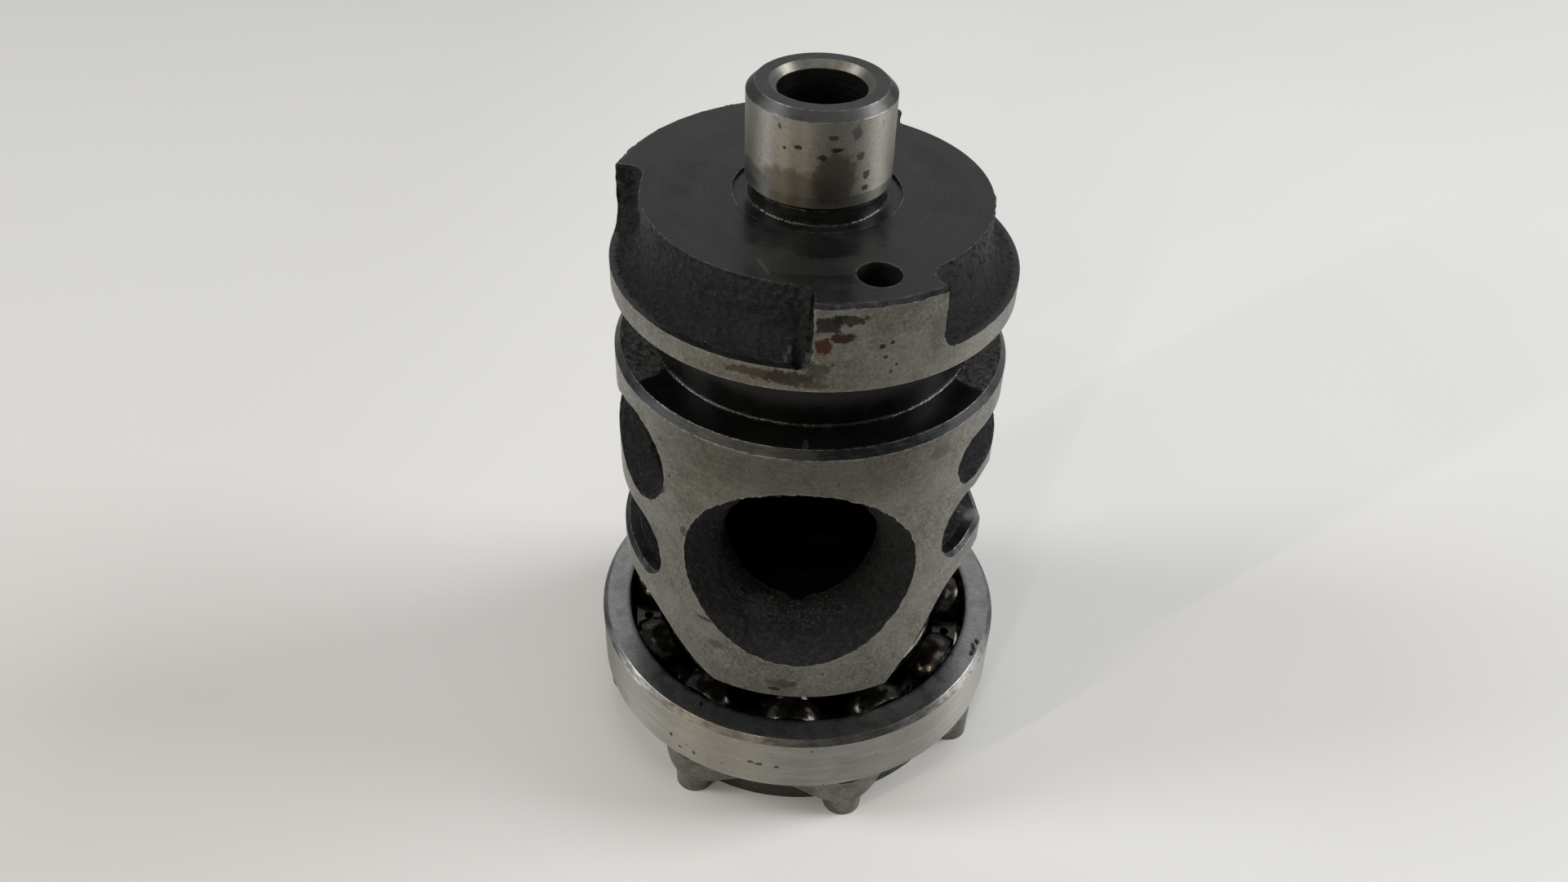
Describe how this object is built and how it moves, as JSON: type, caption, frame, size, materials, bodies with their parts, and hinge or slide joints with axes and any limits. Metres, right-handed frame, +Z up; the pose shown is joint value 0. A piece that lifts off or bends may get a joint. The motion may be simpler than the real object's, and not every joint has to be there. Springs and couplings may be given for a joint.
{
  "type": "gear shift drum",
  "caption": "Hollow gear shift drum with cam tracks for the forks, a round window, a ball bearing at its foot and a lobed detent star below it",
  "frame": {"origin": "centre of the detent star's lower face, on the surface that the part stands on", "axes": "+Z up the drum's axis towards the journal; -Y to the front, where the round window is"},
  "size_m": [0.047, 0.047, 0.0795],
  "materials": {
    "drum_steel": "cast, oxide-dark in the recesses, ground on the rims and the journal",
    "bearing_steel": "ground, lightly oiled",
    "cage_steel": "pressed sheet, oily",
    "ball_steel": "polished, oily",
    "star_steel": "hardened, dark and worn",
    "bolt_steel": "black oxide",
    "pin_steel": "ground"
  },
  "bodies": {
    "drum": {"drum_body": "drum_steel", "bearing_inner_ring": "bearing_steel", "detent_star": "star_steel", "star_bolt": "bolt_steel", "dowel_pin": "pin_steel"},
    "outer_ring": {"bearing_outer_ring": "bearing_steel"},
    "cage": {"cage_upper": "cage_steel", "cage_lower": "cage_steel", "cage_rivets": "cage_steel"},
    "rolling_ball_01": {"ball_01": "ball_steel"},
    "rolling_ball_02": {"ball_02": "ball_steel"},
    "rolling_ball_03": {"ball_03": "ball_steel"},
    "rolling_ball_04": {"ball_04": "ball_steel"},
    "rolling_ball_05": {"ball_05": "ball_steel"},
    "rolling_ball_06": {"ball_06": "ball_steel"},
    "rolling_ball_07": {"ball_07": "ball_steel"},
    "rolling_ball_08": {"ball_08": "ball_steel"},
    "rolling_ball_09": {"ball_09": "ball_steel"},
    "rolling_ball_10": {"ball_10": "ball_steel"},
    "rolling_ball_11": {"ball_11": "ball_steel"}
  },
  "joints": [
    {"name": "outer_ring_turn", "type": "hinge", "parent": "drum", "child": "outer_ring", "pos_m": [0, 0, 0.0102], "axis": [0, 0, 1], "continuous": true},
    {"name": "cage_turn", "type": "hinge", "parent": "drum", "child": "cage", "pos_m": [0, 0, 0.0102], "axis": [0, 0, 1], "continuous": true},
    {"name": "rolling_ball_01_spin", "type": "hinge", "parent": "cage", "child": "rolling_ball_01", "pos_m": [-0.0001, -0.01815, 0.0102], "axis": [0, 0, 1], "continuous": true},
    {"name": "rolling_ball_02_spin", "type": "hinge", "parent": "cage", "child": "rolling_ball_02", "pos_m": [0.00973, -0.01532, 0.0102], "axis": [0, 0, 1], "continuous": true},
    {"name": "rolling_ball_03_spin", "type": "hinge", "parent": "cage", "child": "rolling_ball_03", "pos_m": [0.01647, -0.00763, 0.0102], "axis": [0, 0, 1], "continuous": true},
    {"name": "rolling_ball_04_spin", "type": "hinge", "parent": "cage", "child": "rolling_ball_04", "pos_m": [0.01798, 0.00249, 0.0102], "axis": [0, 0, 1], "continuous": true},
    {"name": "rolling_ball_05_spin", "type": "hinge", "parent": "cage", "child": "rolling_ball_05", "pos_m": [0.01378, 0.01181, 0.0102], "axis": [0, 0, 1], "continuous": true},
    {"name": "rolling_ball_06_spin", "type": "hinge", "parent": "cage", "child": "rolling_ball_06", "pos_m": [0.0052, 0.01739, 0.0102], "axis": [0, 0, 1], "continuous": true},
    {"name": "rolling_ball_07_spin", "type": "hinge", "parent": "cage", "child": "rolling_ball_07", "pos_m": [-0.00502, 0.01744, 0.0102], "axis": [0, 0, 1], "continuous": true},
    {"name": "rolling_ball_08_spin", "type": "hinge", "parent": "cage", "child": "rolling_ball_08", "pos_m": [-0.01365, 0.01196, 0.0102], "axis": [0, 0, 1], "continuous": true},
    {"name": "rolling_ball_09_spin", "type": "hinge", "parent": "cage", "child": "rolling_ball_09", "pos_m": [-0.01795, 0.00268, 0.0102], "axis": [0, 0, 1], "continuous": true},
    {"name": "rolling_ball_10_spin", "type": "hinge", "parent": "cage", "child": "rolling_ball_10", "pos_m": [-0.01655, -0.00745, 0.0102], "axis": [0, 0, 1], "continuous": true},
    {"name": "rolling_ball_11_spin", "type": "hinge", "parent": "cage", "child": "rolling_ball_11", "pos_m": [-0.00989, -0.01522, 0.0102], "axis": [0, 0, 1], "continuous": true}
  ],
  "couplings": [
    {"joint": "cage_turn", "follows": "outer_ring_turn", "ratio": 0.58747},
    {"joint": "rolling_ball_01_spin", "follows": "outer_ring_turn", "ratio": 2.7707},
    {"joint": "rolling_ball_02_spin", "follows": "outer_ring_turn", "ratio": 2.7707},
    {"joint": "rolling_ball_03_spin", "follows": "outer_ring_turn", "ratio": 2.7707},
    {"joint": "rolling_ball_04_spin", "follows": "outer_ring_turn", "ratio": 2.7707},
    {"joint": "rolling_ball_05_spin", "follows": "outer_ring_turn", "ratio": 2.7707},
    {"joint": "rolling_ball_06_spin", "follows": "outer_ring_turn", "ratio": 2.7707},
    {"joint": "rolling_ball_07_spin", "follows": "outer_ring_turn", "ratio": 2.7707},
    {"joint": "rolling_ball_08_spin", "follows": "outer_ring_turn", "ratio": 2.7707},
    {"joint": "rolling_ball_09_spin", "follows": "outer_ring_turn", "ratio": 2.7707},
    {"joint": "rolling_ball_10_spin", "follows": "outer_ring_turn", "ratio": 2.7707},
    {"joint": "rolling_ball_11_spin", "follows": "outer_ring_turn", "ratio": 2.7707}
  ]
}
